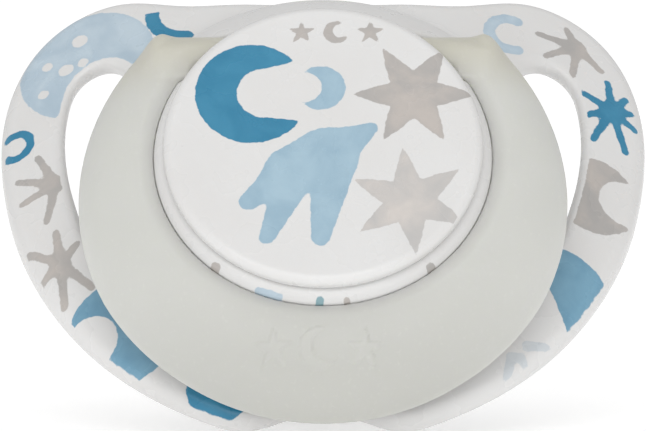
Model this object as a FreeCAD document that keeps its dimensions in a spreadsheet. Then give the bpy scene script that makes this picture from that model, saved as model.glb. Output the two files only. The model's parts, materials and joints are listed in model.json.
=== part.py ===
import FreeCAD, Part
import Sketcher
import math
import os

# A baby's pacifier: a moulded shield, a snap-in button with a printed cover, a hinged pull ring and
# a silicone teat.
#
# Each piece is drawn upright in one shared frame, in millimetres: X to the right of the shield, Z up
# along it, Y backwards, towards the mouth. The origin is where the axis of the teat and the button
# meets the front of the shield. At the end every piece gets the same placement, which leans the
# pacifier back until it stands on the two lower lobes of the shield and on the teat.

Vector, Rotation, Placement = FreeCAD.Vector, FreeCAD.Rotation, FreeCAD.Placement

doc = FreeCAD.newDocument("pacifier")

# ------------------------------------------------------------------------------ driving dimensions
SIZES = {
    "shield_width": (60.6, "overall width of the shield"),
    "plate_thickness": (2.4, "wall of the shield"),
    "plate_reach": (27.0, "half the height of the plate before its rim is cut"),
    "curve_across": (52.0, "radius of the shield's front face, seen from above"),
    "curve_upright": (85.0, "radius of the shield's front face, seen from the side"),
    "hub_radius": (9.8, "flat round boss in the middle of the shield"),
    "hub_depth": (3.2, "depth of that boss"),
    "neck_hole_radius": (6.3, "hole that the teat's neck comes through"),
    "flange_seat_radius": (8.6, "recess for the teat's flange"),
    "flange_thickness": (1.2, "the teat's flange, flush in its recess"),
    "collar_radius": (15.3, "inner radius of the raised collar above the button"),
    "collar_height": (5.8, "how far the collar stands in front of the shield"),
    "collar_curve": (11.89, "radius of the collar's rounded section"),
    "collar_foot": (21.6, "outer radius of the collar, where it meets the plate"),
    "collar_bottom": (14.15, "level at which the collar is cut off above the ring's barrels"),
    "shelf_inner": (8.0, "inner end of that level cut, from the middle"),
    "shelf_outer": (18.0, "outer end of that level cut"),
    "shelf_bottom": (6.0, "lower side of that cut"),
    "saddle_inner": (4.5, "inner side of a saddle behind the hinge bar, from the middle"),
    "saddle_outer": (8.2, "outer side of that saddle"),
    "saddle_bottom": (9.5, "underside of that saddle"),
    "saddle_root": (2.0, "how deep the saddle starts behind the front of the shield"),
    "hinge_height": (11.5, "hinge axis above the button's axis"),
    "hinge_forward": (4.5, "hinge axis in front of the shield"),
    "hinge_bar_radius": (1.1, "bar that joins the two barrels of the ring"),
    "barrel_radius": (2.3, "barrels at the upper ends of the ring"),
    "barrel_inner": (8.6, "inner end of a barrel, from the middle"),
    "barrel_outer": (15.6, "outer end of a barrel, from the middle"),
    "running_gap": (0.3, "clearance round the hinge bar"),
    "overrun": (0.5, "how far the bar runs into each barrel, and a cut past what it removes"),
    "web_inner": (12.4, "inner end of the web below a barrel, clear of the cover as the ring lifts"),
    "web_bottom": (8.5, "underside of that web"),
    "side_step": (0.2, "how far the ends of the barrels stand past the ring's inner sides"),
    "ring_radius": (22.8, "outer edge of the ring"),
    "ring_drop": (1.8, "centre of the outer edge below the button's axis"),
    "ring_tilt": (4.1, "lean of the plane of the outer edge, in degrees"),
    "ring_setback": (0.5, "plane of the outer edge in front of the shield, on the axis"),
    "ring_wall": (2.1, "wall of the ring"),
    "ring_hole_radius": (15.9, "hole of the ring, round the button"),
    "brim_radius": (16.6, "flat brim round that hole, where the dome starts"),
    "brim_round": (0.65, "rounding of the brim at the hole"),
    "ring_front": (7.0, "inner edge of the ring in front of the shield"),
    "crown_radius": (20.9, "circle half way over the ring's dome"),
    "crown_drop": (1.15, "centre of that circle below the button's axis"),
    "crown_front": (5.1, "that circle in front of the shield"),
    "crown_tilt": (1.65, "lean of that circle, in degrees"),
    "lip_radius": (15.7, "lip of the button"),
    "lip_flat_radius": (14.95, "flat front of that lip; its edge slopes back from there"),
    "lip_edge_front": (6.3, "front of the lip's straight outer edge, ahead of the shield"),
    "lip_thickness": (1.6, "thickness of the lip"),
    "button_front": (7.5, "front of the button's lip, ahead of the shield"),
    "notch_height": (8.2, "level above which the lip is cut back for the barrels"),
    "tongue_setback": (1.0, "edge of the lip's upper tongue inside the edge of the cover"),
    "boss_radius": (9.0, "boss of the button behind its lip"),
    "stem_radius": (4.6, "stem of the button, inside the teat's neck"),
    "stem_bore": (3.2, "bore of that stem"),
    "bore_front": (4.5, "front end of that bore, ahead of the shield"),
    "stem_length": (7.2, "stem behind the front of the shield"),
    "stem_gap": (0.05, "clearance of the stem in the teat's neck"),
    "bead_height": (0.4, "snap bead round the stem"),
    "bead_start": (5.0, "front side of that bead"),
    "bead_end": (5.8, "back side of that bead"),
    "cover_radius": (14.85, "printed cover disc"),
    "cover_thickness": (1.8, "thickness of the cover disc"),
    "cover_round": (0.8, "rounding of the cover's front edge"),
    "teat_neck_radius": (6.2, "neck of the teat where it passes the shield"),
    "neck_length": (8.6, "end of that neck behind the front of the shield"),
    "flange_gap": (0.1, "clearance of the teat's flange in its recess"),
    "teat_length": (28.8, "tip of the teat behind the front of the shield"),
    "teat_drop": (4.7, "tip of the teat below the button's axis"),
    "bulb_half_width": (8.4, "half the width of the bulb"),
    "bulb_half_height": (6.0, "half the height of the bulb"),
    "teat_wall": (1.5, "silicone wall of the teat"),
    "tip_thinning": (0.6, "share of that wall which the tip lacks"),
}

sheet = doc.addObject("Spreadsheet::Sheet", "sizes")
for row, (alias, (value, note)) in enumerate(SIZES.items(), start=1):
    sheet.set(f"A{row}", note)
    sheet.set(f"B{row}", str(value))
    sheet.setAlias(f"B{row}", alias)
doc.recompute()


def size(alias):
    return float(getattr(sheet, alias))


# ------------------------------------------------------------------------------------ small helpers
FAR = 45.0                      # farther out than any part of the pacifier reaches
SAME_PLACE = 1e-4               # two places nearer than this are the same


def new_body(label):
    body = doc.addObject("PartDesign::Body", label)
    body.Label = label
    return body


def sketch_on(body, role, name, shift=(0, 0, 0), tilt=0.0):
    """An empty sketch on one of the body's own origin planes; shift and tilt are in the sketch's axes.

    On XZ_Plane, the front view, x is to the right, y is up and z is forwards.
    On YZ_Plane, the side view, x is backwards, y is up and z is to the right.
    """
    sketch = body.newObject("Sketcher::SketchObject", name)
    origin_plane = next(f for f in body.Origin.OriginFeatures if f.Role == role)
    sketch.AttachmentSupport = (origin_plane, "")
    sketch.MapMode = "FlatFace"
    sketch.AttachmentOffset = Placement(Vector(*shift), Rotation(Vector(1, 0, 0), tilt))
    return sketch


def bind(sketch, constraint, expression):
    number = sketch.addConstraint(constraint)
    sketch.setExpression(f"Constraints[{number}]", expression)


def fix_point(sketch, curve, vertex, x, y):
    """Holds one point of a curve at x, y, both expressions of the sheet's sizes."""
    bind(sketch, Sketcher.Constraint("DistanceX", curve, vertex, sketch.evalExpression(x)), x)
    bind(sketch, Sketcher.Constraint("DistanceY", curve, vertex, sketch.evalExpression(y)), y)


def add_circle(sketch, radius, x="0", y="0"):
    """A circle whose radius and centre are expressions of the sheet's sizes."""
    centre = Vector(sketch.evalExpression(x), sketch.evalExpression(y), 0)
    start_radius = sketch.evalExpression(radius)
    curve = sketch.addGeometry(Part.Circle(centre, Vector(0, 0, 1), start_radius), False)
    bind(sketch, Sketcher.Constraint("Radius", curve, start_radius), radius)
    fix_point(sketch, curve, 3, x, y)


def add_split_circle(sketch, radius, y):
    """A circle as two half circles, split at its top and bottom; radius and y are expressions."""
    start_radius, level = sketch.evalExpression(radius), sketch.evalExpression(y)
    circle = Part.Circle(Vector(0, level, 0), Vector(0, 0, 1), start_radius)
    quarter = math.pi / 2
    right = sketch.addGeometry(Part.ArcOfCircle(circle, -quarter, quarter), False)
    left = sketch.addGeometry(Part.ArcOfCircle(circle, quarter, 3 * quarter), False)
    bind(sketch, Sketcher.Constraint("Radius", right, start_radius), radius)
    fix_point(sketch, right, 3, "0", y)
    for start, end in ((right, left), (left, right)):
        sketch.addConstraint(Sketcher.Constraint("Coincident", start, 2, end, 1))
    sketch.addConstraint(Sketcher.Constraint("Coincident", left, 3, right, 3))
    bind(sketch, Sketcher.Constraint("DistanceX", right, 1, 0.0), "0")
    bind(sketch, Sketcher.Constraint("DistanceX", left, 1, 0.0), "0")


def add_arc(sketch, radius, start, end):
    """A counterclockwise arc, less than half a turn; the radius and both ends are expressions."""
    first, last = [Vector(sketch.evalExpression(x), sketch.evalExpression(y), 0) for x, y in (start, end)]
    start_radius, chord = sketch.evalExpression(radius), last - first
    to_centre = Vector(-chord.y, chord.x, 0).normalize()
    to_centre.multiply(math.sqrt(start_radius ** 2 - (chord.Length / 2) ** 2))
    circle = Part.Circle((first + last) / 2 + to_centre, Vector(0, 0, 1), start_radius)
    arc = Part.ArcOfCircle(circle, circle.parameter(first), circle.parameter(last))
    curve = sketch.addGeometry(arc, False)
    fix_point(sketch, curve, 1, *start)
    fix_point(sketch, curve, 2, *end)
    bind(sketch, Sketcher.Constraint("Radius", curve, start_radius), radius)
    return curve


def add_line(sketch, start, end):
    """A straight edge; both ends are pairs of expressions."""
    first, last = [Vector(sketch.evalExpression(x), sketch.evalExpression(y), 0) for x, y in (start, end)]
    line = sketch.addGeometry(Part.LineSegment(first, last), False)
    fix_point(sketch, line, 1, *start)
    fix_point(sketch, line, 2, *end)


def add_profile(sketch, corners):
    """A closed outline of straight edges; every corner is a pair of expressions."""
    places = [Vector(sketch.evalExpression(x), sketch.evalExpression(y), 0) for x, y in corners]
    lines = [
        sketch.addGeometry(Part.LineSegment(start, end), False)
        for start, end in zip(places, places[1:] + places[:1])
    ]
    for line, following, (x, y) in zip(lines, lines[1:] + lines[:1], corners):
        sketch.addConstraint(Sketcher.Constraint("Coincident", line, 2, following, 1))
        fix_point(sketch, line, 1, x, y)


def add_box(sketch, left, right, bottom, top):
    add_profile(sketch, [(left, bottom), (right, bottom), (right, top), (left, top)])


def add_ellipse(sketch, half_width, half_height, y):
    """A level ellipse as a right and a left half, with its centre on the sketch's vertical axis."""
    wide, tall = sketch.evalExpression(half_width), sketch.evalExpression(half_height)
    centre = Vector(0, sketch.evalExpression(y), 0)
    outline = Part.Ellipse(centre + Vector(wide, 0, 0), centre + Vector(0, tall, 0), centre)
    quarter = math.pi / 2
    for start in (-quarter, quarter):
        sketch.addGeometry(Part.ArcOfEllipse(outline, start, start + math.pi), False)


def add_closed_spline(sketch, points):
    """One smooth closed curve through the points."""
    curve = Part.BSplineCurve()
    curve.interpolate([Vector(x, y, 0) for x, y in points], PeriodicFlag=True)
    sketch.addGeometry(curve, False)


def volume(body):
    return 0.0 if body.Tip is None or body.Shape.isNull() else body.Shape.Volume


def settle(body, feature, before, removes=False):
    """Recomputes, and stops if the feature failed or did not change the body the right way."""
    doc.recompute()
    change = volume(body) - before
    if "Invalid" in feature.State or (change >= 0 if removes else change <= 0):
        raise RuntimeError(f"{feature.Label}: {feature.getStatusString()}, volume changed by {change:.3f}")
    return feature


def revolve(body, sketch, name, axis, angle=360.0):
    before = volume(body)
    feature = body.newObject("PartDesign::Revolution", name)
    feature.Profile = sketch
    feature.ReferenceAxis = (sketch, [axis])
    feature.Angle = angle
    feature.Midplane = angle < 360.0
    return settle(body, feature, before)


def pad(body, sketch, name, length, side="One side", backwards=False):
    """Material from the sketch along its normal, which is forwards in a front view."""
    before = volume(body)
    feature = body.newObject("PartDesign::Pad", name)
    feature.Profile = sketch
    feature.setExpression("Length", length)
    feature.SideType = side
    feature.Reversed = backwards
    return settle(body, feature, before)


def cut(body, sketch, name, length=None, forwards=False):
    """A pocket of this length, backwards unless told forwards, or both ways through everything."""
    before = volume(body)
    feature = body.newObject("PartDesign::Pocket", name)
    feature.Profile = sketch
    if length is None:
        feature.Type = "ThroughAll"
        feature.SideType = "Symmetric"
    else:
        feature.setExpression("Length", length)
        feature.Reversed = forwards
    return settle(body, feature, before, removes=True)


def loft(body, sketches, name, removes=False):
    before = volume(body)
    kind = "PartDesign::SubtractiveLoft" if removes else "PartDesign::AdditiveLoft"
    feature = body.newObject(kind, name)
    feature.Profile = sketches[0]
    feature.Sections = sketches[1:]
    return settle(body, feature, before, removes)


def edges_level_with(body, y, radius):
    """Names of the body's circular edges of this radius that lie in one plane across Y."""
    return [f"Edge{number}" for number, edge in enumerate(body.Shape.Edges, start=1)
            if isinstance(edge.Curve, Part.Circle) and abs(edge.Curve.Center.y - y) < SAME_PLACE
            and abs(edge.Curve.Radius - radius) < SAME_PLACE]


def round_off(body, feature, edges, name, radius):
    before = volume(body)
    fillet = body.newObject("PartDesign::Fillet", name)
    fillet.Base = (feature, edges)
    fillet.setExpression("Radius", radius)
    return settle(body, fillet, before, removes=True)


# ------------------------------------------------------------------------------------------ shield
# Right half of the rim, from the dip under the nose round to the notch above the chin, and right-hand
# air opening, both for a shield of the drawn width, in millimetres.
DRAWN_WIDTH = 60.6
PLATE_SWEEP, COLLAR_SWEEP = 80.0, 100.0     # turns, in degrees, that reach past the rim and the barrels
RIM = [
    (0.0, 22.4), (7.7, 23.2), (13.3, 23.9), (18.9, 25.6), (22.9, 25.1), (26.8, 22.5), (29.5, 17.3),
    (30.3, 11.7), (29.9, 5.8), (28.6, -0.4), (25.6, -7.5), (20.9, -14.1), (15.2, -19.0),
    (10.6, -21.6), (7.4, -22.6), (3.7, -21.9), (0.0, -21.3),
]
AIR_OPENING = [
    (17.9, 15.5), (20.4, 17.6), (22.5, 16.8), (23.9, 13.6), (24.2, 9.0), (23.6, 4.2), (22.6, 0.2),
    (20.9, -2.8), (18.9, -2.4), (17.5, 2.0), (16.8, 8.0), (17.0, 12.4),
]


def make_shield():
    body = new_body("shield")
    scale = size("shield_width") / DRAWN_WIDTH

    # A strip with two concentric arcs, turned about an upright axis behind it, is curved both ways.
    strip = sketch_on(body, "YZ_Plane", "plate_section", shift=(size("curve_across"), 0, 0))
    strip.setExpression("AttachmentOffset.Base.x", "sizes.curve_across")
    centre_back = "(sizes.curve_upright - sizes.curve_across)"
    corners = []
    for setback in ("0", "sizes.plate_thickness"):
        radius = f"sizes.curve_upright - {setback}"
        edge = f"{centre_back} - sqrt(({radius}) ^ 2 - sizes.plate_reach ^ 2)"
        top, bottom = (edge, "sizes.plate_reach"), (edge, "-sizes.plate_reach")
        add_arc(strip, radius, top, bottom)
        corners.append((top, bottom))
    for front_corner, back_corner in zip(*corners):
        add_line(strip, front_corner, back_corner)
    revolve(body, strip, "plate", "V_Axis", angle=PLATE_SWEEP)

    # Everything outside the rim is cut away.
    rim = sketch_on(body, "XZ_Plane", "rim")
    half = [(x * scale, z * scale) for x, z in RIM]
    add_closed_spline(rim, half + [(-x, z) for x, z in half[-2:0:-1]])
    add_box(rim, f"-{FAR}", f"{FAR}", f"-{FAR}", f"{FAR}")
    cut(body, rim, "rim_cut")

    openings = sketch_on(body, "XZ_Plane", "air_openings")
    for side in (1, -1):
        add_closed_spline(openings, [(side * x * scale, z * scale) for x, z in AIR_OPENING])
    cut(body, openings, "air_opening_cut")

    # Flat round hub that the button and the teat's flange seat on.
    hub = sketch_on(body, "XZ_Plane", "hub")
    add_circle(hub, "sizes.hub_radius")
    pad(body, hub, "hub_pad", "sizes.hub_depth", backwards=True)

    # Raised collar round the top of the button: a rounded ridge that falls back to the plate.
    collar = sketch_on(body, "YZ_Plane", "collar_section")
    crest = ("-sizes.collar_height", "sizes.collar_radius")
    foot = ("sizes.plate_thickness", "sizes.collar_foot")
    heel = ("sizes.plate_thickness", "sizes.collar_radius")
    add_arc(collar, "sizes.collar_curve", foot, crest)
    add_line(collar, foot, heel)
    add_line(collar, heel, crest)
    revolve(body, collar, "collar", "H_Axis", angle=COLLAR_SWEEP)

    # The collar is cut level above the ring's barrels, down to the plate.
    shelf = sketch_on(body, "XZ_Plane", "collar_shelf")
    for side in ("", "-"):
        add_box(shelf, f"{side}sizes.shelf_inner", f"{side}sizes.shelf_outer", "sizes.shelf_bottom",
                "sizes.collar_bottom")
    cut(body, shelf, "shelf_cut", "sizes.collar_height + sizes.overrun", forwards=True)

    # Two saddles behind the hinge bar, each with a round groove that the bar turns in.
    saddles = sketch_on(body, "XZ_Plane", "saddles")
    saddles.setExpression("AttachmentOffset.Base.z", "-sizes.saddle_root")
    for side in ("", "-"):
        add_box(saddles, f"{side}sizes.saddle_inner", f"{side}sizes.saddle_outer", "sizes.saddle_bottom",
                "sizes.hinge_height + sizes.barrel_radius")
    pad(body, saddles, "saddle_pad", "sizes.hinge_forward + sizes.saddle_root")
    groove = sketch_on(body, "YZ_Plane", "bar_groove")
    add_circle(groove, "sizes.hinge_bar_radius + sizes.running_gap", "-sizes.hinge_forward",
               "sizes.hinge_height")
    cut(body, groove, "groove_cut")

    seat = sketch_on(body, "XZ_Plane", "flange_seat")
    add_circle(seat, "sizes.flange_seat_radius")
    cut(body, seat, "flange_seat_cut", "sizes.flange_thickness")
    neck_hole = sketch_on(body, "XZ_Plane", "neck_hole")
    add_circle(neck_hole, "sizes.neck_hole_radius")
    cut(body, neck_hole, "neck_hole_cut")
    return body


# -------------------------------------------------------------------------------------------- ring
def make_ring():
    body = new_body("ring")

    # Three circles carry the dome: the tilted outer edge, the crown, and the brim in front. The
    # inside is a second dome; its circles lie deeper and are smaller by these shares of the wall.
    circles = [
        ("edge", size("ring_tilt"), "sizes.ring_setback", "sizes.ring_radius",
         "-sizes.ring_drop / cos(sizes.ring_tilt * 1 deg)", 0.02, 1.0),
        ("crown", size("crown_tilt"), "sizes.crown_front", "sizes.crown_radius", "-sizes.crown_drop",
         0.7, 0.72),
        ("front", 0.0, "sizes.ring_front", "sizes.brim_radius", "0", 1.0, 0.3),
    ]
    for skin, wall, removes in (("outer", "0", False), ("inner", "sizes.ring_wall", True)):
        sketches = []
        for name, tilt, forward, radius, level, deeper, smaller in circles:
            sketch = sketch_on(body, "XZ_Plane", f"{skin}_{name}", tilt=tilt)
            sketch.setExpression("AttachmentOffset.Base.z", f"{forward} - {wall} * {deeper}")
            add_split_circle(sketch, f"{radius} - {wall} * {smaller}", level)
            sketches.append(sketch)
        doc.recompute()
        loft(body, sketches, f"{skin}_dome", removes)

    hole = sketch_on(body, "XZ_Plane", "hole")
    add_circle(hole, "sizes.ring_hole_radius")
    hole_cut = cut(body, hole, "hole_cut")
    front_edges = edges_level_with(body, -size("ring_front"), size("ring_hole_radius"))
    round_off(body, hole_cut, front_edges, "brim_edge", "sizes.brim_round")

    # Above the hinge only the outer ends stay, and those no higher than the barrels.
    top = sketch_on(body, "XZ_Plane", "top")
    side, ledge = "sizes.barrel_outer - sizes.side_step", "sizes.hinge_height + sizes.barrel_radius"
    add_profile(top, [
        (f"-{FAR}", f"{FAR}"), (f"-{FAR}", ledge), (f"-({side})", ledge),
        (f"-({side})", "sizes.hinge_height"), (side, "sizes.hinge_height"), (side, ledge),
        (f"{FAR}", ledge), (f"{FAR}", f"{FAR}"),
    ])
    cut(body, top, "top_cut")

    # Hinge barrels at both ends, a web from each down to the dome, and the thin bar that joins them
    # behind the button's lip.
    for name, side_sign in (("right", ""), ("left", "-")):
        barrel = sketch_on(body, "YZ_Plane", f"barrel_{name}")
        barrel.setExpression("AttachmentOffset.Base.z", f"{side_sign}sizes.barrel_inner")
        add_circle(barrel, "sizes.barrel_radius", "-sizes.hinge_forward", "sizes.hinge_height")
        pad(body, barrel, f"barrel_{name}_pad", "sizes.barrel_outer - sizes.barrel_inner",
            backwards=name == "left")
    webs = sketch_on(body, "XZ_Plane", "webs")
    webs.setExpression("AttachmentOffset.Base.z", "sizes.hinge_forward")
    for side_sign in ("", "-"):
        add_box(webs, f"{side_sign}sizes.web_inner", f"{side_sign}({side})", "sizes.web_bottom",
                "sizes.hinge_height")
    pad(body, webs, "web_pad", "sizes.barrel_radius")
    bar = sketch_on(body, "YZ_Plane", "hinge_bar")
    add_circle(bar, "sizes.hinge_bar_radius", "-sizes.hinge_forward", "sizes.hinge_height")
    pad(body, bar, "hinge_bar_pad", "2 * (sizes.barrel_inner + sizes.overrun)", side="Symmetric")
    return body


# ------------------------------------------------------------------------------------------ button
def make_button_body():
    """Lip, boss and hollow stem in one turning, with the lip cut back for the ring's barrels."""
    body = new_body("button_body")
    section = sketch_on(body, "YZ_Plane", "section")
    lip_back = "-sizes.button_front + sizes.lip_thickness"
    bead = "sizes.stem_radius + sizes.bead_height"
    add_profile(section, [
        ("-sizes.button_front", "0"),
        ("-sizes.button_front", "sizes.lip_flat_radius"),
        ("-sizes.lip_edge_front", "sizes.lip_radius"),
        (lip_back, "sizes.lip_radius"),
        (lip_back, "sizes.boss_radius"),
        ("0", "sizes.boss_radius"),
        ("0", "sizes.stem_radius"),
        ("sizes.bead_start - sizes.bead_height", "sizes.stem_radius"),
        ("sizes.bead_start", bead),
        ("sizes.bead_end", bead),
        ("sizes.bead_end + sizes.bead_height", "sizes.stem_radius"),
        ("sizes.stem_length", "sizes.stem_radius"),
        ("sizes.stem_length", "sizes.stem_bore"),
        ("-sizes.bore_front", "sizes.stem_bore"),
        ("-sizes.bore_front", "0"),
    ])
    revolve(body, section, "turning", "H_Axis")

    # Above the notch the lip keeps only a tongue, under the cover, that holds the hinge bar in place.
    notch = sketch_on(body, "XZ_Plane", "barrel_notch")
    edge, floor = "sizes.barrel_inner - sizes.running_gap", "sizes.notch_height"
    ceiling = "sizes.cover_radius - sizes.tongue_setback"
    add_profile(notch, [
        (f"-{FAR}", floor), (f"-({edge})", floor), (f"-({edge})", ceiling), (edge, ceiling),
        (edge, floor), (f"{FAR}", floor), (f"{FAR}", f"{FAR}"), (f"-{FAR}", f"{FAR}"),
    ])
    cut(body, notch, "notch_cut")
    return body


def make_button_cover():
    """Flat printed disc on the front of the button, with a rounded edge."""
    body = new_body("button_cover")
    disc = sketch_on(body, "XZ_Plane", "disc")
    disc.setExpression("AttachmentOffset.Base.z", "sizes.button_front")
    add_circle(disc, "sizes.cover_radius")
    disc_pad = pad(body, disc, "disc_pad", "sizes.cover_thickness")
    front = -size("button_front") - size("cover_thickness")
    round_off(body, disc_pad, edges_level_with(body, front, size("cover_radius")), "disc_edge",
              "sizes.cover_round")
    return body


# -------------------------------------------------------------------------------------------- teat
# Ellipses along the teat: place as a fraction of its length, then half width, half height and drop
# of the centre as fractions of the bulb's own.
TEAT_SECTIONS = [
    (0.26, 0.70, 0.96, 0.00), (0.43, 0.63, 0.72, 0.17), (0.56, 0.76, 0.77, 0.40),
    (0.68, 0.95, 0.95, 0.60), (0.78, 1.00, 1.00, 0.75), (0.88, 0.89, 0.89, 0.87),
    (0.96, 0.60, 0.60, 0.96), (1.00, 0.26, 0.28, 1.00),
]
BULB_START = 0.5                # the shank gives way to the bulb at this fraction of the length


def make_teat():
    """Flange, round neck, flattened shank and drooping bulb, hollow all the way."""
    body = new_body("teat")
    bore = "sizes.stem_radius + sizes.stem_gap"
    bead_bore = f"{bore} + sizes.bead_height"
    rim, slope = "sizes.flange_seat_radius - sizes.flange_gap", "sizes.bead_height + sizes.flange_gap"
    section = sketch_on(body, "YZ_Plane", "section")
    add_profile(section, [
        ("0", bore),
        ("0", rim),
        ("sizes.flange_thickness", rim),
        ("sizes.flange_thickness", "sizes.teat_neck_radius"),
        ("sizes.neck_length", "sizes.teat_neck_radius"),
        ("sizes.neck_length", bore),
        (f"sizes.bead_end + {slope}", bore),
        ("sizes.bead_end", bead_bore),
        ("sizes.bead_start", bead_bore),
        (f"sizes.bead_start - ({slope})", bore),
    ])
    revolve(body, section, "neck", "H_Axis")

    # Shank and bulb are one loft, and the hollow inside them is another, a wall's thickness smaller.
    # Both start inside the neck; the hollow ends short of the tip, where its wall is thinner.
    for skin, wall, removes in (("outer", "0", False), ("inner", "sizes.teat_wall", True)):
        sections = []
        for along, width, height, drop in TEAT_SECTIONS:
            section = sketch_on(body, "XZ_Plane", f"{skin}_section")
            share = f"{along}" if along < BULB_START else f"{along} * (1 - {wall} / sizes.teat_length)"
            section.setExpression("AttachmentOffset.Base.z", f"-sizes.teat_length * {share}")
            inset = f"{wall} * (1 - {along} ^ 6 * sizes.tip_thinning)"
            add_ellipse(section, f"sizes.bulb_half_width * {width} - {inset}",
                        f"sizes.bulb_half_height * {height} - {inset}", f"-sizes.teat_drop * {drop}")
            sections.append(section)
        loft(body, sections, f"{skin}_bulb", removes)
    return body


# ------------------------------------------------------------------------------- standing position
FINE_ANGLE = 0.001              # degrees


def leaned(shape, lean):
    """A copy of the shape leaned back by this angle about the X axis."""
    copy = shape.copy()
    copy.Placement = Placement(Vector(0, 0, 0), Rotation(Vector(1, 0, 0), -lean))
    return copy


def lowest(shape, lean):
    return leaned(shape, lean).optimalBoundingBox(True, False).ZMin


def resting_lean(shield, teat):
    """The lean at which the shield's lobes and the teat are equally low, by halving."""
    upright, flat = 10.0, 60.0          # degrees: surely too upright, surely too flat
    while flat - upright > FINE_ANGLE:
        middle = (upright + flat) / 2
        if lowest(teat, middle) > lowest(shield, middle):
            upright = middle
        else:
            flat = middle
    return middle


def stand(bodies):
    """Leans every piece back alike and puts the middle of the whole box over the origin."""
    lean = resting_lean(bodies["shield"].Shape, bodies["teat"].Shape)
    whole = Part.makeCompound([body.Shape for body in bodies.values()])
    box = leaned(whole, lean).optimalBoundingBox(True, False)
    shift = Vector(-(box.XMin + box.XMax) / 2, -(box.YMin + box.YMax) / 2, -box.ZMin)
    for body in bodies.values():
        body.Placement = Placement(shift, Rotation(Vector(1, 0, 0), -lean))
    return lean, shift


# -------------------------------------------------------------------------------- build and export
makers = (make_shield, make_ring, make_button_body, make_button_cover, make_teat)
bodies = {body.Label: body for body in (make() for make in makers)}
doc.recompute()
lean, shift = stand(bodies)
doc.recompute()

for item in doc.Objects:
    if "Invalid" in item.State or "Error" in item.State:
        raise RuntimeError(f"{item.Label} failed: {item.State}")
for label, body in bodies.items():
    if body.Shape.isNull() or not body.Shape.isValid() or len(body.Shape.Solids) != 1:
        raise RuntimeError(f"{label} is not one valid solid")

os.makedirs("parts", exist_ok=True)
for label, body in bodies.items():
    body.Shape.exportStep(f"parts/{label}.step")
    print(label, round(body.Shape.Volume), "mm3")

place = Placement(shift, Rotation(Vector(1, 0, 0), -lean))
hinge = place.multVec(Vector(0, -size("hinge_forward"), size("hinge_height")))
face = place.multVec(Vector(0, -size("button_front") - size("cover_thickness"), 0))
print("lean", round(lean, 3), "shift", shift, "hinge axis through", hinge, "front face centre", face)
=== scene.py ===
"""The looks of a baby's pacifier: shield, pull ring, button, printed cover and silicone teat.

Every piece is drawn upright in millimetres, as in the CAD model (X to the right, Y backwards, Z up,
origin where the button's axis meets the front of the shield), and is then leaned back onto the floor
like the CAD pieces. Solids are described by distance fields: negative inside, positive outside.
"""

import json
import math

import bpy
import numpy as np
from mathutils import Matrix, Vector


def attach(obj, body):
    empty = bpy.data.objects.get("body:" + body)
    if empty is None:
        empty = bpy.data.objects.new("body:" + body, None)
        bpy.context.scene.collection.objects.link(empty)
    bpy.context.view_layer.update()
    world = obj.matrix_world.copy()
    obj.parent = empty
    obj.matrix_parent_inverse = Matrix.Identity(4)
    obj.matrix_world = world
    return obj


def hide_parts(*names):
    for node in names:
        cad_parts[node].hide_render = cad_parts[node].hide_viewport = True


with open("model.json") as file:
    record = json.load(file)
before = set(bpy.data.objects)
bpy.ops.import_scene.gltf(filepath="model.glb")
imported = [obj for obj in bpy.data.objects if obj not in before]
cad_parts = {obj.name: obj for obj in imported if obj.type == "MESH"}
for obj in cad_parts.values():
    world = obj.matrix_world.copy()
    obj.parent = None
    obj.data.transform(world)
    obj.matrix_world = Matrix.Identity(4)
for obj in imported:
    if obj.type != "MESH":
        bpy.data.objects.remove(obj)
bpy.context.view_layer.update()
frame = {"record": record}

MM = 0.001
TINY = 1e-6                     # keeps a division from being by zero
CRISP, SOFT = 0.2, 0.3          # radii, in millimetres, of edges with nothing special about them

# Sizes in millimetres that the pieces share with the CAD model.
PLATE_WALL = 2.4
CURVE_ACROSS, CURVE_UPRIGHT = 52.0, 85.0
HINGE_FORWARD, HINGE_HEIGHT = 4.5, 11.5
BARREL_RADIUS, BARREL_INNER, BARREL_OUTER = 2.3, 8.6, 15.6
RING_HOLE, BRIM_RADIUS, RING_RADIUS, RING_DROP = 15.76, 16.6, 22.8, 1.8
COVER_RADIUS, COVER_BACK, COVER_FRONT = 14.85, 7.5, 9.3
LIP_RADIUS, LIP_BACK, NOTCH_HEIGHT = 15.71, 5.9, 8.2
COLLAR_RADIUS, COLLAR_BOTTOM = 15.3, 14.15


# --------------------------------------------------------------------- from the drawing to the floor
front_face = next(m for m in frame["record"]["mounts"] if m["name"] == "front_face")
LEAN = math.atan2(front_face["axis"][2], -front_face["axis"][1])


def leaned(points):
    """Points in millimetres, leaned back about the X axis, in metres."""
    x, y, z = np.asarray(points, dtype=float).T
    c, s = math.cos(LEAN), math.sin(LEAN)
    return np.stack([x, y * c + z * s, z * c - y * s], axis=1) * MM


# Puts the middle of the cover's front where the record has the front_face mount.
STAND = np.array(front_face["pos_m"]) - leaned([(0.0, -COVER_FRONT, 0.0)])[0]


def placed(points):
    return leaned(points) + STAND


# --------------------------------------------------------------------------- distance field algebra
def smooth_min(a, b, blend):
    h = np.maximum(blend - np.abs(a - b), 0.0) / blend
    return np.minimum(a, b) - h * h * blend / 4.0


def smooth_max(a, b, blend):
    return -smooth_min(-a, -b, blend)


def round_and(a, b, radius):
    """What is inside both, with the edge between them rounded to this radius."""
    a, b = a + radius, b + radius
    return np.minimum(np.maximum(a, b), 0.0) + np.hypot(np.maximum(a, 0), np.maximum(b, 0)) - radius


def between(value, low, high):
    """Distance to a slab from low to high."""
    return np.abs(value - (low + high) / 2.0) - (high - low) / 2.0


def to_ellipse(a, b, half_a, half_b):
    """Distance to an ellipse of these half widths, close to true near its edge."""
    reach = np.hypot(a / half_a, b / half_b)
    steepness = np.maximum(np.hypot(a / half_a ** 2, b / half_b ** 2), TINY)
    return reach * (reach - 1.0) / steepness


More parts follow.
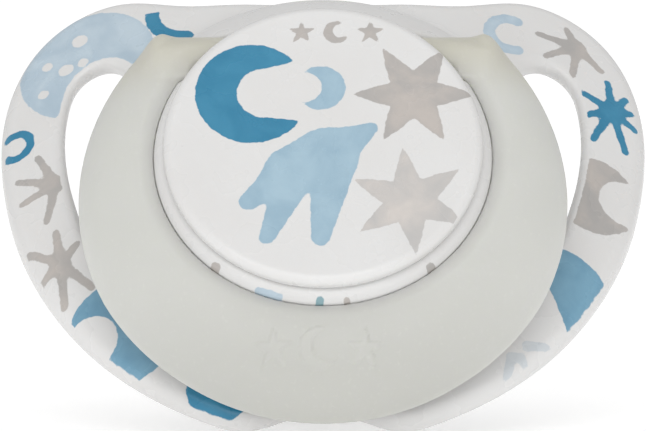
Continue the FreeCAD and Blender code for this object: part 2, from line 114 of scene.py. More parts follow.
def closed_curve(points, count):
    """Evenly spaced points on the smooth closed curve (a periodic cubic spline) through the points."""
    knots = np.array(points, dtype=float)
    number = len(knots)
    steps = np.linalg.norm(np.roll(knots, -1, axis=0) - knots, axis=1)
    before = np.roll(steps, 1)
    slope = (np.roll(knots, -1, axis=0) - knots) / steps[:, None]
    matrix = np.zeros((number, number))
    for i in range(number):
        matrix[i, i] = 2.0 * (before[i] + steps[i])
        matrix[i, (i + 1) % number] += steps[i]
        matrix[i, (i - 1) % number] += before[i]
    bend = np.linalg.solve(matrix, 6.0 * (slope - np.roll(slope, 1, axis=0)))
    starts = np.concatenate([[0.0], np.cumsum(steps)])
    along = np.linspace(0.0, starts[-1], count, endpoint=False)
    i = np.searchsorted(starts, along, side="right") - 1
    j, h = (i + 1) % number, steps[i][:, None]
    b = (along - starts[i])[:, None]
    a = h - b
    return (bend[i] * a ** 3 + bend[j] * b ** 3) / (6 * h) \
        + (knots[i] / h - bend[i] * h / 6) * a + (knots[j] / h - bend[j] * h / 6) * b


def outline_field(outline, reach=34.0, spacing=0.5):
    """A function of x and z: the distance to a smooth closed outline, negative inside it.

    The nearest outline point of each square of a coarse grid is found once; a query then looks only
    at the segments beside it.
    """
    starts = np.array(outline)
    runs = np.roll(starts, -1, axis=0) - starts
    lengths = (runs ** 2).sum(axis=1)
    turning = np.sign((starts[:, 0] * runs[:, 1] - starts[:, 1] * runs[:, 0]).sum())
    ticks = np.arange(-reach, reach, spacing) + spacing / 2
    gx, gz = np.meshgrid(ticks, ticks, indexing="ij")
    centres = np.stack([gx.ravel(), gz.ravel()], axis=1)
    nearest = np.array([((starts - centre) ** 2).sum(axis=1).argmin() for centre in centres])
    nearest = nearest.reshape(gx.shape)
    last = len(ticks) - 1

    def distance(x, z):
        x, z = np.broadcast_arrays(x, z)
        column = np.clip(((x + reach) / spacing).astype(int), 0, last)
        row = np.clip(((z + reach) / spacing).astype(int), 0, last)
        first = nearest[column, row]
        best = np.full(x.shape, np.inf)
        side = np.zeros(x.shape)
        for beside in range(-3, 3):
            k = (first + beside) % len(starts)
            dx, dz = x - starts[k, 0], z - starts[k, 1]
            rx, rz = runs[k, 0], runs[k, 1]
            share = np.clip((dx * rx + dz * rz) / lengths[k], 0.0, 1.0)
            gap = (dx - share * rx) ** 2 + (dz - share * rz) ** 2
            closer = gap < best
            best = np.where(closer, gap, best)
            side = np.where(closer, rx * dz - rz * dx, side)
        return -np.sign(side) * turning * np.sqrt(best)

    return distance


def mirrored(half):
    """A closed outline from its right half, whose first and last points lie on the middle line."""
    return half + [(-x, z) for x, z in half[-2:0:-1]]


# ----------------------------------------------------------------------------- fields of the pieces
RIM = mirrored([
    (0.0, 22.4), (7.7, 23.2), (13.3, 23.9), (18.9, 25.6), (22.9, 25.1), (26.8, 22.5), (29.5, 17.3),
    (30.3, 11.7), (29.9, 5.8), (28.6, -0.4), (25.6, -7.5), (20.9, -14.1), (15.2, -19.0),
    (10.6, -21.6), (7.4, -22.6), (3.7, -21.9), (0.0, -21.3),
])
AIR_OPENING = [
    (17.9, 15.5), (20.4, 17.6), (22.5, 16.8), (23.9, 13.6), (24.2, 9.0), (23.6, 4.2), (22.6, 0.2),
    (20.9, -2.8), (18.9, -2.4), (17.5, 2.0), (16.8, 8.0), (17.0, 12.4),
]
rim_distance = outline_field(closed_curve(RIM, 600))
opening_distance = outline_field(closed_curve(AIR_OPENING, 200))


def from_hinge_axis(y, z):
    return np.hypot(y + HINGE_FORWARD, z - HINGE_HEIGHT)


def depth_in_plate(x, y, z):
    """Distance in front of the plate's middle surface, positive towards the front."""
    across = np.hypot(x, y - CURVE_ACROSS) + CURVE_UPRIGHT - CURVE_ACROSS
    return np.hypot(across, z) - (CURVE_UPRIGHT - PLATE_WALL / 2)


def flat_shape(x, z):
    """The shield's outline with its two air openings, seen square from the front."""
    return np.maximum(rim_distance(np.abs(x), z), -opening_distance(np.abs(x), z))


def shield_field(x, y, z):
    front_round, back_round, fillet = 1.15, 1.05, 1.8
    depth, flat = depth_in_plate(x, y, z), flat_shape(x, z)
    plate = np.maximum(round_and(depth - PLATE_WALL / 2, flat, front_round),
                       round_and(-depth - PLATE_WALL / 2, flat, back_round))

    # Collar: a ridge round the top of the button, cut off level above the ring's barrels.
    crest_radius, crest_centre, crest_setback, collar_round = 11.89, 9.96, 4.82, 0.8
    out = np.hypot(x, z)
    crest = np.hypot(out - crest_centre, y - crest_setback) - crest_radius
    inner_edge = np.sqrt(np.maximum(COLLAR_RADIUS ** 2 - x ** 2, 0.0))
    lower_edge = smooth_max(inner_edge, COLLAR_BOTTOM, collar_round) - z
    collar = smooth_max(round_and(crest, lower_edge, collar_round), -depth, CRISP)
    solid = smooth_min(plate, collar, fillet)

    # Hub for the button.
    hub_radius, hub_depth, small_fillet = 9.8, 3.2, 0.4
    hub = round_and(out - hub_radius, between(y, 0.0, hub_depth), SOFT)
    solid = smooth_min(solid, hub, small_fillet)

    # Two grooved saddles behind the hinge bar.
    saddle_inner, saddle_outer, saddle_bottom, saddle_top, saddle_root = 4.5, 8.2, 9.5, 13.8, 2.0
    groove_radius = 1.4
    saddle = round_and(between(np.abs(x), saddle_inner, saddle_outer),
                       between(z, saddle_bottom, saddle_top), SOFT)
    saddle = round_and(saddle, between(y, -HINGE_FORWARD, saddle_root), SOFT)
    solid = smooth_min(solid, saddle, small_fillet)
    solid = smooth_max(solid, groove_radius - from_hinge_axis(y, z), CRISP)

    # The teat's flange lies in a round seat, and its neck comes through a hole.
    seat_radius, seat_depth, seat_round, hole_radius = 8.6, 1.2, 0.1, 6.3
    seat = round_and(out - seat_radius, y - seat_depth, seat_round)
    return smooth_max(solid, -np.minimum(seat, out - hole_radius), CRISP)


def ring_field(x, y, z):
    wall, brim_front, setback, tilt = 2.1, 7.0, 0.5, math.tan(math.radians(4.1))
    outer_round, slope_round, hole_round, arm_round, barrel_round = 0.75, 0.4, 0.06, 0.5, 0.9
    barrel_blend, web_blend = 2.2, 0.6
    out = np.maximum(np.hypot(x, z), TINY)
    sine, cosine = z / out, x / out
    outer = -RING_DROP * sine + np.sqrt(RING_RADIUS ** 2 - (RING_DROP * cosine) ** 2)
    outer_back = -setback - tilt * outer * sine

    # A flat brim round the hole, then a quarter of an ellipse back to the outer edge.
    wide, deep = outer - BRIM_RADIUS - wall / 2, brim_front + outer_back - wall / 2
    beyond_brim, before_edge = np.maximum(out - BRIM_RADIUS, 0.0), np.minimum(y - outer_back, -0.001)
    dome = np.abs(to_ellipse(beyond_brim, before_edge, wide, deep)) - wall / 2

    # Low on the ring the dome is a little flatter and carries the raised motif.
    motif_relief, motif_slope = 0.09, 0.3
    flattening, flat_from, flat_over = 0.33, 12.0, 8.0
    raised = np.clip(-ring_motif(x, z) / motif_slope, 0.0, 1.0)
    sunk = flattening * np.clip((-z - flat_from) / flat_over, 0.0, 1.0)
    dome = dome + sunk - motif_relief * raised * raised * (3.0 - 2.0 * raised)
    dome = round_and(dome, y - outer_back, outer_round)

    # From the brim a shallow slope leads down to the hole, which widens towards the back.
    steepness, widening, widening_from = 0.6, 0.07, 6.3
    slope_to_hole = (steepness * (BRIM_RADIUS - out) - y - brim_front) / math.hypot(1.0, steepness)
    widening_hole = RING_HOLE + widening * (y + widening_from) - out
    dome = round_and(round_and(dome, slope_to_hole, slope_round), widening_hole, hole_round)

    # Above the hinge only the ends of the dome stay: a barrel on each, a web below it, and a thin bar.
    bar_radius, bar_overlap, side_step, web_inner, web_bottom = 1.1, 1.0, 0.2, 12.4, 8.5
    arm_side = BARREL_OUTER - side_step
    top = smooth_max(z - HINGE_HEIGHT - BARREL_RADIUS,
                     np.minimum(z - HINGE_HEIGHT, arm_side - np.abs(x)), SOFT)
    arms = round_and(dome, top, arm_round)
    from_hinge = from_hinge_axis(y, z)
    barrel_length = between(np.abs(x), BARREL_INNER, BARREL_OUTER)
    barrel = round_and(from_hinge - BARREL_RADIUS, barrel_length, barrel_round)
    bar = np.maximum(from_hinge - bar_radius, np.abs(x) - BARREL_INNER - bar_overlap)
    web = round_and(between(np.abs(x), web_inner, arm_side), between(z, web_bottom, HINGE_HEIGHT), SOFT)
    web = round_and(web, between(y, -HINGE_FORWARD - BARREL_RADIUS, -HINGE_FORWARD), SOFT)
    arms = smooth_min(arms, barrel, barrel_blend)
    arms = smooth_min(arms, web, web_blend)
    return smooth_min(arms, bar, SOFT)


def button_body_field(x, y, z):
    out = np.hypot(x, z)

    # Lip: flat in front, sloping at its edge, and notched for the ring's barrels beside a tongue.
    slope, flat_radius, front_round, edge_round = 1.3, 15.0, 0.5, 0.06
    tongue_setback, tongue_gap = 1.0, 0.3
    sloping_edge = (slope * (out - flat_radius) - y - COVER_BACK) / math.hypot(1.0, slope)
    lip = round_and(-y - COVER_BACK, sloping_edge, front_round)
    lip = round_and(out - LIP_RADIUS, np.maximum(lip, y + LIP_BACK), edge_round)
    tongue = np.maximum(out - COVER_RADIUS + tongue_setback, np.abs(x) - BARREL_INNER + tongue_gap)
    lip = round_and(lip, np.minimum(z - NOTCH_HEIGHT, tongue), SOFT)

    # Boss and hollow stem, with the bead that snaps into the teat's neck.
    boss_radius, boss_overlap, stem_radius, stem_front, stem_back = 9.0, 0.5, 4.6, -1.0, 8.0
    bead_core, bead_middle, bead_half_width, bead_radius = 4.3, 5.4, 0.2, 0.65
    bore_radius, bore_front, boss_blend = 3.2, 4.5, 0.5
    boss = round_and(out - boss_radius, between(y, -LIP_BACK - boss_overlap, 0.0), SOFT)
    stem = round_and(out - stem_radius, between(y, stem_front, stem_back), SOFT)
    bead = np.hypot(np.maximum(out - bead_core, 0.0),
                    np.maximum(np.abs(y - bead_middle) - bead_half_width, 0.0)) - bead_radius
    solid = smooth_min(smooth_min(lip, boss, boss_blend), smooth_min(stem, bead, SOFT), SOFT)
    bore = round_and(out - bore_radius, -y - bore_front, SOFT)
    return smooth_max(solid, -bore, CRISP)


def button_cover_field(x, y, z):
    edge_round = 0.85
    return round_and(np.hypot(x, z) - COVER_RADIUS, between(y, -COVER_FRONT, -COVER_BACK), edge_round)


# Ellipses along the teat: distance behind the shield, half width, half height, drop of the centre.
TEAT_SECTIONS = np.array([
    (0.0, 6.1, 6.1, 0.0), (7.5, 6.1, 6.0, 0.0), (12.4, 5.3, 4.4, 0.8), (16.1, 6.4, 4.7, 1.9),
    (19.6, 7.95, 5.7, 2.8), (22.5, 8.4, 6.0, 3.5), (25.3, 7.5, 5.34, 4.1), (27.6, 4.9, 3.5, 4.5),
    (28.8, 0.0, 0.0, 4.7),
])


def smooth_row(knots, values, place):
    """A smooth curve (cubic Hermite) through values at the knots."""
    slopes = np.gradient(values, knots)
    i = np.clip(np.searchsorted(knots, place, side="right") - 1, 0, len(knots) - 2)
    run = knots[i + 1] - knots[i]
    t = np.clip((place - knots[i]) / run, 0.0, 1.0)
    return (values[i] * (1 + 2 * t) * (1 - t) ** 2 + slopes[i] * run * t * (1 - t) ** 2
            + values[i + 1] * t ** 2 * (3 - 2 * t) + slopes[i + 1] * run * t ** 2 * (t - 1))


def teat_field(x, y, z):
    stations, wide, high, drop = TEAT_SECTIONS.T
    least = 0.02                # keeps the ellipses from vanishing past the tip
    across = np.sqrt(np.maximum(smooth_row(stations, wide ** 2, y), least))
    upright = np.sqrt(np.maximum(smooth_row(stations, high ** 2, y), least))
    skin = to_ellipse(x, z + smooth_row(stations, drop, y), across, upright)

    out = np.hypot(x, z)
    flange_radius, flange_thickness, flange_round, flange_fillet = 8.5, 1.2, 0.35, 0.8
    flange = round_and(out - flange_radius, between(y, 0.0, flange_thickness), flange_round)
    solid = smooth_min(np.maximum(skin, -y), flange, flange_fillet)

    # The stem's bore with a groove for its bead, and behind it the hollow of the bulb.
    bore_radius, bore_depth, wall, hollow_from = 4.65, 7.6, 1.5, 7.0
    groove_radius, groove_start, groove_end = 5.05, 4.6, 6.2
    bore = np.maximum(out - bore_radius, y - bore_depth)
    groove = round_and(out - groove_radius, between(y, groove_start, groove_end), SOFT)
    hollow = smooth_min(np.minimum(bore, groove), np.maximum(skin + wall, hollow_from - y), SOFT)
    return smooth_max(solid, -hollow, SOFT)


# ------------------------------------------------------------------------------- mesh from a field
CORNERS = [(i, j, k) for i in (0, 1) for j in (0, 1) for k in (0, 1)]


def cell_edges():
    """Pairs of neighbouring corners of a grid cell."""
    return [(a, b) for a in CORNERS for b in CORNERS
            if a < b and sum(p != q for p, q in zip(a, b)) == 1]


def gradient(field, points, step=0.01):
    ways = np.eye(3) * step
    return np.stack([(field(*(points + way).T) - field(*(points - way).T)) / (2 * step)
                     for way in ways], axis=1)


def onto_surface(field, points, rounds=2, longest=0.3, flattest=0.05):
    """Newton steps along the gradient, none longer than this in any direction."""
    for _ in range(rounds):
        slope = gradient(field, points)
        size = np.maximum((slope ** 2).sum(axis=1), flattest)
        move = (field(*points.T) / size)[:, None] * slope
        points = points - np.clip(move, -longest, longest)
    return points


def surface_of(field, low, high, cell):
    """Points and four-sided faces of the closed surface where the field is zero."""
    axes = [np.arange(a, b + cell, cell) for a, b in zip(low, high)]
    x, y, z = axes
    value = field(x[:, None, None], y[None, :, None], z[None, None, :])
    inside = value < 0
    shape = np.array(value.shape) - 1

    def corner(array, offset):
        i, j, k = offset
        return array[i:i + shape[0], j:j + shape[1], k:k + shape[2]]

    count = sum(corner(inside, c).astype(np.int8) for c in CORNERS)
    cells = np.argwhere((count > 0) & (count < 8))
    number = np.full(shape, -1)
    number[tuple(cells.T)] = np.arange(len(cells))

    # Each mixed cell gets one point, the mean of where the surface crosses the cell's edges.
    total, crossings = np.zeros((len(cells), 3)), np.zeros(len(cells))
    for a, b in cell_edges():
        first = value[tuple((cells + a).T)]
        second = value[tuple((cells + b).T)]
        crossed = (first < 0) != (second < 0)
        share = np.where(crossed, first / np.where(crossed, first - second, 1.0), 0.0)
        place = np.array(a) + share[:, None] * (np.array(b) - np.array(a))
        total += np.where(crossed[:, None], place, 0.0)
        crossings += crossed
    points = (cells + total / crossings[:, None]) * cell + np.array([axis[0] for axis in axes])

    faces = []
    for axis in range(3):
        ahead = np.roll(inside, -1, axis=axis)
        changed = inside != ahead
        u, v = [w for w in range(3) if w != axis]
        edges = np.argwhere(changed)
        edges = edges[(edges[:, axis] < shape[axis]) & (edges[:, u] > 0) & (edges[:, v] > 0)
                      & (edges[:, u] < shape[u]) & (edges[:, v] < shape[v])]
        around = []
        for du, dv in ((1, 1), (0, 1), (0, 0), (1, 0)):
            beside = edges.copy()
            beside[:, u] -= du
            beside[:, v] -= dv
            around.append(number[tuple(beside.T)])
        quads = np.stack(around, axis=1)
        outwards = inside[tuple(edges.T)] == (axis != 1)
        faces.append(np.where(outwards[:, None], quads, quads[:, ::-1]))
    return points, np.concatenate(faces)


def relaxed(field, points, faces, rounds=3):
    """Evens out the faces: points move towards the middle of their neighbours and back onto the surface."""
    ends = np.concatenate([faces, np.roll(faces, -1, axis=1)])
    others = np.concatenate([np.roll(faces, -1, axis=1), faces])
    ends, others = ends.ravel(), others.ravel()
    neighbours = np.bincount(ends, minlength=len(points))
    for _ in range(rounds):
        middle = np.stack([np.bincount(ends, points[others, way], len(points)) for way in range(3)], 1)
        halfway = 0.5 * points + 0.5 * middle / neighbours[:, None]
        points = onto_surface(field, halfway, rounds=1)
    return onto_surface(field, points)


def new_object(name, points, faces, normals):
    mesh = bpy.data.meshes.new(name)
    mesh.from_pydata([tuple(p) for p in placed(points)], [], [tuple(f) for f in faces.tolist()])
    mesh.shade_smooth()
    turned = leaned(normals)
    turned /= np.linalg.norm(turned, axis=1)[:, None]
    mesh.normals_split_custom_set_from_vertices([tuple(n) for n in turned])
    piece = bpy.data.objects.new(name, mesh)
    bpy.context.scene.collection.objects.link(piece)
    return piece


def moulded(name, field, low, high, cell, node, body):
    """A moulded piece from its field, in place of a CAD node; also returns its points, still upright."""
    points, faces = surface_of(field, low, high, cell)
    points = relaxed(field, points, faces)
    piece = new_object(name, points, faces, gradient(field, points, step=0.03))
    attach(piece, body)
    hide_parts(node)
    return piece, points


# ------------------------------------------------------------------------------------------ prints
# Plain night-sky motifs. Every print is a distance field in the piece's own plan, in millimetres.
def ball(x, z, centre, radius):
    return np.hypot(x - centre[0], z - centre[1]) - radius


def rod(x, z, start, end, start_radius, end_radius):
    """A tapering stroke with round ends."""
    run = np.array(end) - np.array(start)
    share = np.clip(((x - start[0]) * run[0] + (z - start[1]) * run[1]) / (run @ run), 0.0, 1.0)
    gap = np.hypot(x - start[0] - share * run[0], z - start[1] - share * run[1])
    return gap - start_radius - share * (end_radius - start_radius)


def towards(centre, angle, distance):
    turn = math.radians(angle)
    return centre[0] + distance * math.cos(turn), centre[1] + distance * math.sin(turn)


def moon(x, z, centre, radius, opening, bite, shift, flare=1.35):
    """A crescent: a disc less a stroke of radius bite, which widens towards the opening angle."""
    length = 1.5 * radius
    start, end = towards(centre, opening, shift), towards(centre, opening, shift + length)
    return round_and(ball(x, z, centre, radius), -rod(x, z, start, end, bite, bite * flare), CRISP)


def star(x, z, centre, radius, turn, waist=0.37, points=6, swell=0.20):
    """A regular star with slightly swollen points."""
    sector = 2 * math.pi / points
    angle = np.arctan2(z - centre[1], x - centre[0]) - math.radians(turn)
    angle = np.abs((angle + sector / 2) % sector - sector / 2)
    out = np.hypot(x - centre[0], z - centre[1])
    tip = np.array([radius, 0.0])
    notch = waist * radius * np.array([math.cos(sector / 2), math.sin(sector / 2)])
    run = (notch - tip) / np.linalg.norm(notch - tip)
    past = (out * np.cos(angle) - tip[0]) * run[1] - (out * np.sin(angle) - tip[1]) * run[0]
    share = np.clip(out / radius, 0.0, 1.0)
    return past - swell * radius * share * (1.0 - share)


def arc(x, z, centre, radius, start, end, width):
    """A stroke with round ends along part of a circle, from one angle to another."""
    angle = np.degrees(np.arctan2(z - centre[1], x - centre[0]))
    middle, half = (start + end) / 2, (end - start) / 2
    turn = np.radians(middle + np.clip((angle - middle + 180) % 360 - 180, -half, half))
    return np.hypot(x - centre[0] - radius * np.cos(turn), z - centre[1] - radius * np.sin(turn)) - width


def burst(x, z, centre, arms, width=0.34, gap=0.0):
    """Straight strokes out from a round hub, or from a gap; each arm is an angle and a length."""
    hub_radius, root, join = 0.8, 1.4, 0.6
    shape = ball(x, z, centre, hub_radius if gap == 0.0 else -gap)
    for angle, length in arms:
        start, end = towards(centre, angle, gap), towards(centre, angle, length - width)
        shape = smooth_min(shape, rod(x, z, start, end, width * root, width), join)
    return shape


def comet(x, z):
    """A broad rounded head with three tails."""
    nose, shoulder, middle = (4.4, 1.5), (0.4, -1.2), (-2.9, -2.9)
    shape = smooth_min(rod(x, z, nose, shoulder, 0.7, 2.8), rod(x, z, shoulder, middle, 2.8, 2.5), 0.5)
    tails = (((-3.6, -3.5), 1.9, (-6.9, -6.3), 0.9), ((-2.8, -4.0), 1.8, (-5.2, -10.1), 0.75),
             ((0.9, -2.4), 2.2, (-0.2, -10.1), 0.9))
    for start, start_radius, end, end_radius in tails:
        shape = smooth_min(shape, rod(x, z, start, end, start_radius, end_radius), 0.7)
    return shape


def half_disc(x, z, centre, radius, facing, reach):
    """A disc cut straight at this reach from its centre."""
    across, up = towards((0.0, 0.0), facing, 1.0)
    flat = (x - centre[0]) * across + (z - centre[1]) * up - reach
    return round_and(ball(x, z, centre, radius), flat, CRISP)


def dots(x, z, spots):
    return np.min([np.hypot(x - cx, z - cz) - radius for cx, cz, radius in spots], axis=0)


def shield_prints(x, z):
    any_of = np.minimum.reduce
    craters = [(-22.9, 21.4, 0.75), (-26.0, 19.2, 0.5), (-24.2, 18.1, 0.7), (-22.6, 18.5, 0.5),
               (-26.3, 15.8, 0.5)]
    return {
        "strong": any_of([
            round_and(arc(x, z, (-12.7, 22.7), 3.4, 150, 268, 0.7), z - 23.0, 0.1),
            arc(x, z, (-28.9, 10.5), 1.4, -125, 125, 0.42),
            burst(x, z, (27.2, 14.2), [(96, 3.7), (157, 3.5), (211, 3.1), (246, 4.8), (285, 5.0),
                                       (325, 2.9), (55, 2.6), (10, 2.2)]),
            ball(x, z, (-9.4, -18.9), 3.3),
        ]),
        "mid": any_of([
            round_and(ball(x, z, (-18.6, -12.2), 5.3), -ball(x, z, (-21.6, -12.75), 2.5), 0.2),
            half_disc(x, z, (21.6, -8.6), 5.6, 203, 0.0),
        ]),
        "pale": any_of([
            np.maximum(ball(x, z, (-22.2, 18.2), 6.4), -dots(x, z, craters)),
            arc(x, z, (17.6, 20.6), 1.95, 70, 290, 0.58),
        ]),
        "faint": burst(x, z, (17.8, -13.9), [(10, 3.5), (300, 2.6), (257, 3.8)], 0.36, gap=1.2),
        "beige": any_of([
            burst(x, z, (-25.0, 4.8), [(117, 4.3), (158, 4.2), (201, 3.8), (258, 4.4)]),
            burst(x, z, (-24.5, -4.0), [(47, 2.6), (98, 3.8), (148, 3.9), (222, 3.2), (275, 5.0),
                                        (312, 4.8)], 0.36),
            burst(x, z, (24.0, 20.9), [(172, 4.1), (214, 4.0), (262, 4.1), (316, 3.4), (116, 2.6)]),
            moon(x, z, (25.4, 3.65), 4.15, 0, 2.35, 2.8, flare=1.05),
        ]),
    }


def cover_prints(x, z):
    any_of = np.minimum.reduce
    return {
        "strong": moon(x, z, (-6.6, 5.25), 5.3, 4, 2.6, 1.2, flare=1.6),
        "light": any_of([moon(x, z, (-0.25, 5.9), 2.35, 177, 1.6, 1.5), comet(x, z)]),
        "beige": any_of([
            star(x, z, (8.4, 5.2), 5.7, 0), star(x, z, (-2.0, 11.9), 1.3, 18, points=5),
            moon(x, z, (1.2, 11.9), 1.2, 20, 0.7, 0.45), star(x, z, (4.4, 11.9), 1.3, 18, points=5),
        ]),
        "sand": star(x, z, (8.0, -6.2), 5.7, 36),
    }


def ring_motif(x, z):
    """The faint raised row low on the ring: a star, a crescent and a star."""
    return np.minimum.reduce([star(x, z, (-4.6, -19.9), 2.0, 18, points=5),
                              moon(x, z, (-0.4, -19.9), 1.9, 20, 1.2, 0.75),
                              star(x, z, (3.9, -19.9), 2.0, 18, points=5)])


def lip_prints(x, z):
    return {
        "teal": ball(x, z, (-0.3, -15.6), 0.42),
        "pale": rod(x, z, (-6.0, -14.4), (-4.0, -15.1), 0.3, 0.3),
        "beige": dots(x, z, [(-10.0, -12.0, 0.5), (10.0, -12.0, 0.5), (2.2, -15.5, 0.3)]),
    }


def store(piece, name, values):
    """Keeps one number per point of the mesh, for the material to read."""
    layer = piece.data.attributes.new(name, "FLOAT", "POINT")
    layer.data.foreach_set("value", values.astype(np.float32))


def print_on(piece, prints, unprinted):
    """Stores the distance to each ink's print; unprinted is above zero where no ink goes."""
    farthest = 3.0
    for ink, shape in prints.items():
        store(piece, ink, np.clip(np.maximum(shape, unprinted), -farthest, farthest))


# --------------------------------------------------------------------------------------- materials
INKS = {
    "strong": (0.022, 0.215, 0.365),
    "mid": (0.160, 0.335, 0.460),
    "light": (0.330, 0.480, 0.580),
    "pale": (0.455, 0.560, 0.640),
    "faint": (0.630, 0.655, 0.670),
    "teal": (0.230, 0.370, 0.410),
    "beige": (0.455, 0.428, 0.404),
    "sand": (0.560, 0.535, 0.512),
}
WHITE, WARMER_WHITE = (0.725, 0.722, 0.716), (0.700, 0.692, 0.682)
# The third ring colour is painted shade, mixed into the lower part of the ring.
GLOW, DULLER_GLOW, PAINTED_SHADE_GLOW = (0.625, 0.626, 0.598), (0.600, 0.602, 0.572), (0.515, 0.515, 0.487)
WARM_GLOW, SPECK = (0.570, 0.555, 0.480), (0.74, 0.75, 0.70)
CLEAR, MILKY = (0.95, 0.95, 0.94), (0.90, 0.905, 0.895)
PLASTIC_IOR, SILICONE_IOR = 1.49, 1.41


def node(tree, kind, inputs=(), **settings):
    made = tree.nodes.new("ShaderNode" + kind)
    for key, value in settings.items():
        setattr(made, key, value)
    for key, value in dict(inputs).items():
        socket = made.inputs[key]
        if isinstance(value, bpy.types.NodeSocket):
            tree.links.new(value, socket)
        else:
            socket.default_value = value
    return made


def new_material(name):
    """A material with one Principled shader, and the place on the piece that its patterns follow."""
    material = bpy.data.materials.new(name)
    material.use_nodes = True
    tree = material.node_tree
    place = node(tree, "TexCoord").outputs["Object"]
    return material, tree, tree.nodes["Principled BSDF"], place


def noise(tree, place, scale, detail=3.0, distortion=0.0):
    """A cloudy pattern; its scale is in repeats per metre."""
    inputs = {"Vector": place, "Scale": scale, "Detail": detail, "Distortion": distortion}
    return node(tree, "TexNoise", inputs).outputs["Fac"]


def spread(tree, value, low, high, start=0.3, end=0.7):
    """Maps a pattern's value from start..end to low..high, easing in and out."""
    inputs = {"Value": value, "From Min": start, "From Max": end, "To Min": low, "To Max": high}
    return node(tree, "MapRange", inputs, interpolation_type="SMOOTHSTEP").outputs["Result"]


def mixed(tree, share, first, second):
    """A colour between two colours; each is a socket or three numbers."""
    made = node(tree, "Mix", {"Factor": share}, data_type="RGBA")
    # The node has several inputs called A and B, so the two for colours are found by number.
    for number, colour in ((6, first), (7, second)):
        if isinstance(colour, bpy.types.NodeSocket):
            tree.links.new(colour, made.inputs[number])
        else:
            made.inputs[number].default_value = (*colour, 1.0)
    return made.outputs[2]


def surface(tree, shader, place, colour, roughness, grain, depth):
    """Sets what every piece has: colour, uneven gloss and a fine moulded grain."""
    tree.links.new(colour, shader.inputs["Base Color"])
    gloss = spread(tree, noise(tree, place, scale=220.0), roughness - 0.04, roughness + 0.05)
    tree.links.new(gloss, shader.inputs["Roughness"])
    fine = noise(tree, place, scale=grain, detail=4.0)
    bump = node(tree, "Bump", {"Height": fine, "Strength": 0.25, "Distance": depth})
    tree.links.new(bump.outputs["Normal"], shader.inputs["Normal"])


def let_light_in(shader, weight, radius):
    """Light spreads this far inside the plastic, in metres for red, green and blue."""
    shader.inputs["Subsurface Weight"].default_value = weight
    shader.inputs["Subsurface Radius"].default_value = radius
    shader.inputs["Subsurface Scale"].default_value = 1.0


def printed_plastic(name, inks):
    """Glossy white polypropylene, with inks where the mesh's print fields are below zero."""
    material, tree, shader, place = new_material(name)
    clouds = spread(tree, noise(tree, place, scale=90.0), 0.0, 1.0)
    colour = mixed(tree, clouds, WARMER_WHITE, WHITE)
    wobble = spread(tree, noise(tree, place, scale=1500.0), -0.05, 0.05)
    wash = noise(tree, place, scale=260.0, detail=5.0, distortion=0.6)
    for ink in inks:
        red, green, blue = INKS[ink]
        edge = node(tree, "Attribute", attribute_name=ink).outputs["Fac"]
        edge = node(tree, "Math", {0: edge, 1: wobble}, operation="ADD").outputs[0]
        inside = spread(tree, edge, 1.0, 0.0, -0.07, 0.04)
        paler = (red * 1.10 + 0.015, green * 1.08 + 0.01, blue * 1.06 + 0.01)
        deeper = (red * 0.90, green * 0.92, blue * 0.94)
        tint = mixed(tree, spread(tree, wash, 0.0, 1.0), deeper, paler)
        near_edge = spread(tree, edge, 0.0, 0.35, -0.55, -0.05)
        tint = mixed(tree, near_edge, tint, deeper)
        colour = mixed(tree, inside, colour, tint)
    let_light_in(shader, 0.12, (0.0022, 0.0020, 0.0018))
    shader.inputs["IOR"].default_value = PLASTIC_IOR
    surface(tree, shader, place, colour, roughness=0.27, grain=2600.0, depth=0.00004)
    return material


def ring_plastic():
    """Cloudy, slightly greenish plastic that lets light into it; warmer in the two thick upper ends, and
    darkened towards the bottom by painted shade.
    """
    material, tree, shader, place = new_material("ring_plastic")
    clouds = spread(tree, noise(tree, place, scale=70.0, detail=4.0), 0.0, 1.0)
    colour = mixed(tree, clouds, DULLER_GLOW, GLOW)
    height = node(tree, "Attribute", attribute_name="upper").outputs["Fac"]
    # Painted shade: the ring's colour darkens towards its bottom.
    colour = mixed(tree, spread(tree, height, 1.0, 0.0, -24.0, -8.0), colour, PAINTED_SHADE_GLOW)
    colour = mixed(tree, spread(tree, height, 0.0, 1.0, 6.0, 12.5), colour, WARM_GLOW)
    specks = spread(tree, noise(tree, place, scale=2200.0, detail=2.0), 0.0, 0.10, 0.58, 0.75)
    colour = mixed(tree, specks, colour, SPECK)
    let_light_in(shader, 0.55, (0.0030, 0.0032, 0.0026))
    shader.inputs["IOR"].default_value = PLASTIC_IOR
    surface(tree, shader, place, colour, roughness=0.40, grain=1900.0, depth=0.00005)
    return material


def silicone():
    """Clear, faintly milky silicone."""
    material, tree, shader, place = new_material("silicone")
    clouds = spread(tree, noise(tree, place, scale=120.0), 0.0, 1.0)
    colour = mixed(tree, clouds, MILKY, CLEAR)
    shader.inputs["Transmission Weight"].default_value = 0.88
    shader.inputs["IOR"].default_value = SILICONE_IOR
    surface(tree, shader, place, colour, roughness=0.16, grain=1500.0, depth=0.00005)
    return material


# ------------------------------------------------------------------------------------------ pieces
def make_shield():
    bare_rim, bare_round_opening, bare_back = 0.35, 0.8, 0.7
    shield, points = moulded("shield_moulding", shield_field, (-31, -8, -24), (31, 15, 27), 0.3,
                             "shield", "shield")
    x, y, z = points.T
    behind = bare_back - depth_in_plate(x, y, z)
    edges = np.maximum(rim_distance(np.abs(x), z) + bare_rim,
                       bare_round_opening - opening_distance(np.abs(x), z))
    print_on(shield, shield_prints(x, z), np.maximum(behind, edges))
    inks = ("strong", "mid", "pale", "faint", "beige")
    shield.data.materials.append(printed_plastic("shield_plastic", inks))


def make_ring():
    ring, points = moulded("ring_moulding", ring_field, (-24, -8, -26), (24, 3, 15), 0.26,
                           "ring", "ring")
    store(ring, "upper", points[:, 2])
    ring.data.materials.append(ring_plastic())


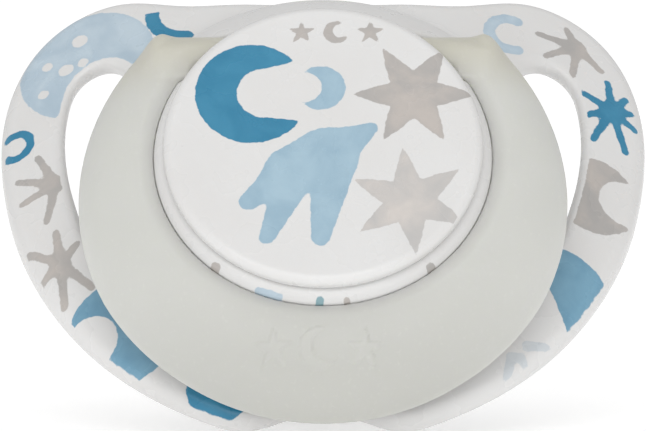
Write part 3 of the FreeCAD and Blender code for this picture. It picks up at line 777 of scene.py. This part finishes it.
def make_button():
    print_back, print_front = 6.0, 7.2
    button, points = moulded("button_moulding", button_body_field, (-17, -8.3, -17), (17, 9, 15), 0.26,
                             "button_body", "shield")
    x, y, z = points.T
    print_on(button, lip_prints(x, z), np.maximum(y + print_back, -print_front - y))
    button.data.materials.append(printed_plastic("button_plastic", ("teal", "pale", "beige")))


def make_cover():
    print_depth = 0.4
    cover, points = moulded("printed_cover", button_cover_field, (-15.6, -9.9, -15.6),
                            (15.6, -6.9, 15.6), 0.22, "button_cover", "shield")
    x, y, z = points.T
    print_on(cover, cover_prints(x, z), y + COVER_FRONT - print_depth)
    cover.data.materials.append(printed_plastic("cover_plastic", ("strong", "light", "beige", "sand")))


def make_teat():
    teat, _ = moulded("silicone_teat", teat_field, (-9.2, -0.6, -12.0), (9.2, 29.6, 9.2), 0.3,
                      "teat", "shield")
    teat.data.materials.append(silicone())


# ------------------------------------------------------------------------- floor, light and camera
def lay_floor():
    reach = 6.0
    mesh = bpy.data.meshes.new("floor")
    mesh.from_pydata([(-reach, -reach, 0), (reach, -reach, 0), (reach, reach, 0), (-reach, reach, 0)],
                     [], [(0, 1, 2, 3)])
    floor = bpy.data.objects.new("floor", mesh)
    bpy.context.scene.collection.objects.link(floor)
    material, tree, shader, place = new_material("floor_paper")
    clouds = spread(tree, noise(tree, place, scale=3.0), 0.0, 1.0)
    paper = mixed(tree, clouds, (0.93, 0.93, 0.93), (0.95, 0.95, 0.95))
    tree.links.new(paper, shader.inputs["Base Color"])
    shader.inputs["Roughness"].default_value = 0.9
    shader.inputs["Specular IOR Level"].default_value = 0.1
    shader.inputs["Emission Color"].default_value = (1.0, 1.0, 1.0, 1.0)
    shader.inputs["Emission Strength"].default_value = 0.34
    mesh.materials.append(material)


def soft_light(name, direction, width, power):
    """A broad, distant light, from this direction and this many degrees wide."""
    light = bpy.data.lights.new(name, "SUN")
    light.angle, light.energy = math.radians(width), power
    lamp = bpy.data.objects.new(name, light)
    lamp.rotation_mode = "QUATERNION"
    lamp.rotation_quaternion = (-Vector(direction)).to_track_quat("-Z", "Y")
    bpy.context.scene.collection.objects.link(lamp)


def light_up():
    world = bpy.data.worlds.new("studio")
    bpy.context.scene.world = world
    world.use_nodes = True
    background = world.node_tree.nodes["Background"]
    background.inputs["Color"].default_value = (1.0, 1.0, 1.0, 1.0)
    background.inputs["Strength"].default_value = 0.65
    soft_light("key", (-0.10, -0.93, 0.25), 55.0, 1.05)
    soft_light("top", (0.10, -0.50, 0.85), 50.0, 0.20)


def set_camera():
    """A long lens, a little above the floor, so that the shield is seen from 30 degrees under square."""
    distance, seen_width, sensor, below = 1.5, 0.0602, 36.0, 0.0021
    elevation = LEAN - math.radians(30.0)
    away = Vector((0.0, -math.cos(elevation), math.sin(elevation)))
    up = Vector((0.0, math.sin(elevation), math.cos(elevation)))
    target = Vector(placed([(0.0, 0.0, 0.0)])[0]) - up * below
    camera = bpy.data.objects.new("camera", bpy.data.cameras.new("camera"))
    camera.data.sensor_width = sensor
    camera.data.lens = sensor * distance / seen_width
    camera.location = target + away * distance
    camera.rotation_mode = "QUATERNION"
    camera.rotation_quaternion = (-away).to_track_quat("-Z", "Y")
    camera.data.clip_start, camera.data.clip_end = 0.01, 50.0
    bpy.context.scene.collection.objects.link(camera)
    bpy.context.scene.camera = camera


make_shield()
make_ring()
make_button()
make_cover()
make_teat()
lay_floor()
light_up()
set_camera()
bpy.context.scene.view_settings.view_transform = "Standard"
